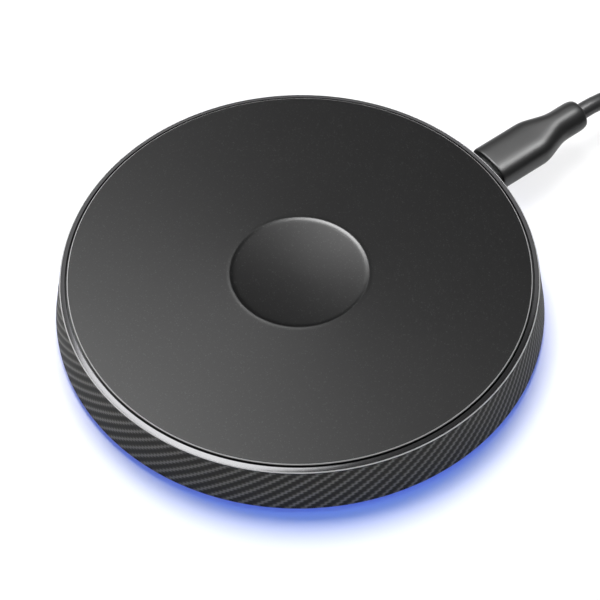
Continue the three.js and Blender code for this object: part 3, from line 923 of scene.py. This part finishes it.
def grip_stations(total, body, neck):
    """Distances from the mouth, in mm, closest together at the ends and along the neck."""
    rest = total - body - neck
    stations = [0, 0.02, 0.08, 0.18, 0.32, FRONT_REACH]
    stations += [FRONT_REACH + (body - FRONT_REACH) * k / 8 for k in range(1, 9)]
    stations += [body + neck * k / 20 for k in range(1, 21)]
    return stations + [body + neck + rest * k for k in (0.25, 0.5, 0.7, 0.84, 0.92, 0.97, 1.0)]


def grip_section(half_w, half_h, power):
    """A ring of points between an ellipse and a rectangle."""
    out = []
    for k in range(GRIP_SIDES):
        a = 2 * math.pi * k / GRIP_SIDES
        c, d = math.cos(a), math.sin(a)
        out.append((half_w * math.copysign(abs(c) ** power, c), half_h * math.copysign(abs(d) ** power, d)))
    return out


def grip(name, node, height, body, neck, rise):
    """A moulded grip along +Y: a flat-topped body and a smooth neck, in mm, and a round strain relief."""
    low, high = low_high(node)
    total = (high.y - low.y) / MM
    x0 = (low.x + high.x) / 2
    half_w = (high.x - low.x) / 2
    half_h = height / 2
    z0 = low.z + half_h
    verts = []
    stations = grip_stations(total, body, neck)
    for s in stations:
        t = ease((s - body) / neck)
        inset = drawn_in(s / FRONT_REACH, FRONT_ROUND)
        inset += drawn_in((total - s) / ((total - body - neck) * BACK_REACH), BACK_ROUND)
        w = half_w + (RELIEF_D / 2 - half_w) * t - inset
        h = half_h + (RELIEF_D / 2 - RELIEF_FLATTEN - half_h) * t - inset
        power = GRIP_SQUARENESS + (1 - GRIP_SQUARENESS) * t
        ring = grip_section(w, h, power)
        verts += [(x0 + px, low.y + s * MM, z0 + rise * t + pz) for px, pz in ring]
    faces = []
    last = (len(stations) - 1) * GRIP_SIDES
    for start in range(0, last, GRIP_SIDES):
        rows = ring_faces(start, start + GRIP_SIDES, GRIP_SIDES)
        faces += [(a, d, c, b) for a, b, c, d in rows]
    faces.append(tuple(range(GRIP_SIDES)))
    faces.append(tuple(reversed(range(last, last + GRIP_SIDES))))
    obj = add_mesh(name, verts, faces, 40, M["grip_rubber"])
    stands_for(obj, "lead", "grip_rubber", node)
    return obj


# The plugs' pressed shells, in mm: wall, outer and inner corner, and two latch holes in the top, which
# lie across at hole_x, go along from hole_from to hole_to and are cut hole_depth down.
USB_A_CAN = dict(
    wall=0.3, corner=0.55, inner_corner=0.3,
    hole_x=2.5, hole_half=1.1, hole_from=4.5, hole_to=6.9, hole_depth=0.9, hole_corner=0.2,
)
MICRO_CAN = dict(
    wall=0.25, corner=0.5, inner_corner=0.25,
    hole_x=1.75, hole_half=0.4, hole_from=2.4, hole_to=3.8, hole_depth=0.5, hole_corner=0.1,
)


def pressed_shell(name, node, x, z, can):
    """A plug's hollow, rounded metal shell along Y, round x and z, with two latch holes."""
    can = {key: value * MM for key, value in can.items()}
    low, high = low_high(node)
    w, h = high.x - low.x, high.z - low.z
    outer = rounded_section(w, h, can["corner"])
    obj = prism_y(name, outer, low.y, high.y, x, z, M["steel"])
    inner = rounded_section(w - 2 * can["wall"], h - 2 * can["wall"], can["inner_corner"])
    boolean(obj, prism_y("hollow", inner, low.y - MM, high.y + MM, x, z))
    for side in (-1, 1):
        middle = x + side * can["hole_x"]
        hole_low = (middle - can["hole_half"], low.y + can["hole_from"], high.z - can["hole_depth"])
        hole_high = (middle + can["hole_half"], low.y + can["hole_to"], high.z + MM)
        boolean(obj, soft_box("latch_hole", hole_low, hole_high, can["hole_corner"]))
    reshade(obj)
    stands_for(obj, "lead", "steel", node)
    return obj


STRAP_THICK = 0.5 * MM
STRAP_CORNER = 1.9 * MM
STRAP_SLICES = 13  # rings of points across the strap
STRAP_SPAN = 0.7 * MM  # longest side in a ring
STRAP_SOFT = 0.12 * MM  # how far its two edges draw in
LAP_RISE = 0.4 * MM  # how far the strap's lapped end stands up
LAP_BACK, LAP_FRONT = 3.5 * MM, 4 * MM  # the lap's reach either side of the coil's middle line
LAP_SLOPE, LAP_STEP = 3 * MM, 0.25 * MM  # how far it rises over at its start, and drops over at its end


def divided(loop):
    """A closed loop with no side much longer than STRAP_SPAN."""
    out = []
    for (r0, z0), (r1, z1) in zip(loop, loop[1:] + loop[:1]):
        spans = max(1, int(math.hypot(r1 - r0, z1 - z0) / STRAP_SPAN))
        out += [(r0 + (r1 - r0) * k / spans, z0 + (z1 - z0) * k / spans) for k in range(spans)]
    return out


def lap_height(r, z, top):
    """How far the strap's lapped end lifts its face, at r from the coil's middle line."""
    if z <= top - 0.01 * MM or not -LAP_BACK < r < LAP_FRONT:
        return 0.0
    return LAP_RISE * min(1, (LAP_FRONT - r) / LAP_STEP, (r + LAP_BACK) / LAP_SLOPE)


def strap_points(low, high, outer, inner):
    """The outer and inner ring of each slice, one slice after another."""
    centre_x, centre_y = (c * MM for c in COIL_CENTRE)
    r_mid, z_mid = (low.y + high.y) / 2 - centre_y, (low.z + high.z) / 2
    top = (high.z - low.z) / 2
    verts = []
    for k in range(STRAP_SLICES):
        across = 2 * k / (STRAP_SLICES - 1) - 1
        angle = across * (high.x - low.x) / 2 / r_mid
        soft = STRAP_SOFT * across ** 6
        ring = []
        for r, z in outer:
            scale = 1 - soft / math.hypot(r, z)
            ring.append((r * scale, z * scale + lap_height(r, z, top)))
        for r, z in ring + inner:
            radius = r_mid + r
            x, y = centre_x + radius * math.sin(angle), centre_y + radius * math.cos(angle)
            verts.append((x, y, z_mid + z))
    return verts


def tie():
    """A strap round both layers of the coil on its far side, its loose end lapped over the top."""
    low, high = low_high("cable_tie")
    w, h = high.y - low.y, high.z - low.z
    thick = 2 * STRAP_THICK
    outer = divided(rounded_section(w, h, STRAP_CORNER, 6))
    inner = divided(rounded_section(w - thick, h - thick, STRAP_CORNER - STRAP_THICK, 6))
    verts = strap_points(low, high, outer, inner)
    n = len(outer)
    row = n + len(inner)
    last = (STRAP_SLICES - 1) * row
    faces = []
    for start in range(0, last, row):
        faces += ring_faces(start, start + row, n)
        inside = ring_faces(start + n, start + row + n, len(inner))
        faces += [(b, a, d, c) for a, b, c, d in inside]
    obj = add_mesh("coil_tie", verts, faces, 50, M["strap"])
    with mesh_edit(obj) as bm:
        for start in (0, last):
            rim = set(range(start, start + row))
            edges = [e for e in bm.edges if e.is_boundary and {v.index for v in e.verts} <= rim]
            bmesh.ops.bridge_loops(bm, edges=edges)
    reshade(obj, 50)
    stands_for(obj, "lead", "strap", "cable_tie")
    return obj


cable_obj, cable_length = cable()
plug_grip = grip("plug_grip", "plug_overmould", PLUG_GRIP_H, body=11.5, neck=8, rise=RELIEF_RISE)
usb_grip = grip("usb_a_grip", "usb_a_overmould", USB_GRIP_H, body=12, neck=7, rise=0)
usb_can = pressed_shell("usb_a_can", "usb_a_shell", USB_MIDDLE.x, USB_MIDDLE.z, USB_A_CAN)
coil_tie = tie()
plug_can = pressed_shell("micro_usb_can", "plug_shell", 0, PLUG_Z, MICRO_CAN)
on_cable = [plug_grip, plug_can, usb_grip, usb_can, coil_tie]
on_cable += [bpy.data.objects[name] for name in ("plug_insulator", "usb_a_insulator")]
on_cable += [bpy.data.objects[f"usb_a_contact_{i}"] for i in range(1, 5)]

# ---- floor and light ----

FLOOR_HALF = 1.5


def floor():
    n = Nodes("floor")
    broad = n.noise(n.place(), 3, 2, 0.5)
    n.color(n.blend(broad, (0.9, 0.9, 0.905), (0.915, 0.915, 0.92)))
    n.fix("Roughness", 0.9)
    n.fix("Specular IOR Level", 0.1)
    corners = ((-1, -1), (1, -1), (1, 1), (-1, 1))
    verts = [(x * FLOOR_HALF, y * FLOOR_HALF, 0) for x, y in corners]
    obj = add_mesh("floor", verts, [(0, 1, 2, 3)], 0, n.material)
    return obj


def area_light(name, place, size, radiance, color=(1, 1, 1), aim=(0, 0, 0), turn=0.0):
    """A rectangular light at (right, away, up) of the camera's ground frame, facing aim."""
    right, away, up = camera_axes()
    data = bpy.data.lights.new(name, "AREA")
    data.shape = "RECTANGLE"
    data.size, data.size_y = size
    data.energy = radiance * math.pi * size[0] * size[1]
    data.color = color
    obj = bpy.data.objects.new(name, data)
    where = right * place[0] + away * place[1] + up * place[2]
    at = right * aim[0] + away * aim[1] + up * aim[2]
    back = (where - at).normalized()
    side = (right - back * right.dot(back)).normalized()
    basis = Matrix((side, back.cross(side), back)).transposed()
    spin = Matrix.Rotation(math.radians(turn), 3, "Z")
    obj.matrix_world = Matrix.Translation(where) @ (basis @ spin).to_4x4()
    obj.visible_camera = False
    bpy.context.collection.objects.link(obj)
    return obj


# Places and sizes are in metres, in the camera's ground frame.
OVERHEAD = dict(place=(-0.12, 0.68, 1.2), size=(0.72, 0.84), aim=(-0.12, 0.68, 0))
OVERHEAD_RADIANCE = 14.4
LEAD_SHADOW = 0.24  # how much of the overhead light the lead's parts block
SOFTBOX = dict(place=(-0.225, 0.125, 0.6), size=(0.31, 0.53), radiance=22.0, aim=(-0.225, 0.125, 0), turn=37)
PLUG_PLACE = (0.05, 0.037, 0)
LEAD_LIGHTS = {
    "lead_streak": dict(place=(0.226, 0.171, 0.557), size=(0.17, 0.17), radiance=44.0, aim=PLUG_PLACE),
    "lead_sheen": dict(place=(0.03, 0.408, 0.472), size=(0.22, 0.22), radiance=3.6, aim=PLUG_PLACE),
}
BEZEL_LIGHTS = {
    "bezel_rim": dict(place=(0, 0.95, 0.66), size=(1.8, 0.9), radiance=2.8),
    "bezel_fill": dict(place=(0.3, 0.12, 0.75), size=(0.5, 0.6), radiance=0.8),
}
SKY_STRENGTH = 0.22


def collect(name, *pieces):
    """A collection outside the scene, which a light is linked to."""
    made = bpy.data.collections.new(name)
    for piece in pieces:
        made.objects.link(piece)
    return made


def overhead_light():
    """The main light in two shares. The lead blocks only the second, so its shadow is faint."""
    open_share = area_light("overhead", radiance=OVERHEAD_RADIANCE * (1 - LEAD_SHADOW), **OVERHEAD)
    shadow_share = area_light("overhead_shadow", radiance=OVERHEAD_RADIANCE * LEAD_SHADOW, **OVERHEAD)
    open_share.visible_glossy = False
    shadow_share.visible_glossy = False
    unshaded = collect("unshaded", plug_grip, cable_obj)
    for member in unshaded.collection_objects:
        member.light_linking.link_state = "EXCLUDE"
    open_share.light_linking.blocker_collection = unshaded


def highlights(lights, seen_on):
    """Lights that are only seen as reflections, and only on those pieces."""
    for name, settings in lights.items():
        light = area_light(name, **settings)
        light.visible_diffuse = False
        light.light_linking.receiver_collection = seen_on


def sky():
    world = bpy.data.worlds.new("world")
    bpy.context.scene.world = world
    world.use_nodes = True
    background = world.node_tree.nodes["Background"]
    background.inputs["Color"].default_value = (1, 1, 1, 1)
    background.inputs["Strength"].default_value = SKY_STRENGTH
    world.cycles_visibility.glossy = False


def lights():
    overhead_light()
    area_light("softbox", **SOFTBOX).visible_diffuse = False
    highlights(LEAD_LIGHTS, collect("lead_only", plug_grip, cable_obj))
    highlights(BEZEL_LIGHTS, collect("bezel_only", bezel_obj))
    sky()
    bpy.context.scene.view_settings.view_transform = "Standard"


GLOW_LIGHTS = 40
GLOW_SIZE = 6 * MM
GLOW_HEIGHT = 8 * MM
GLOW_REACH = 2.5 * MM  # how far outside the wall's foot the glow is centred
GLOW_RADIANCE = 1.9
GLOW_COLOR = (0.0, 0.2, 1.0)
GLOW_TOWARDS = math.radians(80)  # a little to the right of the camera, which is at 90
GLOW_FALL = 2.6  # how fast it fades away from there
GLOW_LEAST = 0.01


def glow(floor_obj):
    """The light ring's spill on the floor, strongest at the front."""
    only_floor = collect("only_floor", floor_obj)
    for i in range(GLOW_LIGHTS):
        angle = 2 * math.pi * i / GLOW_LIGHTS
        weight = ((1 + math.cos(angle - GLOW_TOWARDS)) / 2) ** GLOW_FALL
        if weight < GLOW_LEAST:
            continue
        x, y = (c * (BAND_R + GLOW_REACH) for c in (math.cos(angle), -math.sin(angle)))
        light = area_light(
            f"glow_{i}",
            place=(x, y, GLOW_HEIGHT),
            size=(GLOW_SIZE, GLOW_SIZE),
            radiance=GLOW_RADIANCE * weight,
            color=GLOW_COLOR,
            aim=(x, y, 0),
        )
        light.visible_glossy = False
        light.light_linking.receiver_collection = only_floor


glow(floor())
lights()
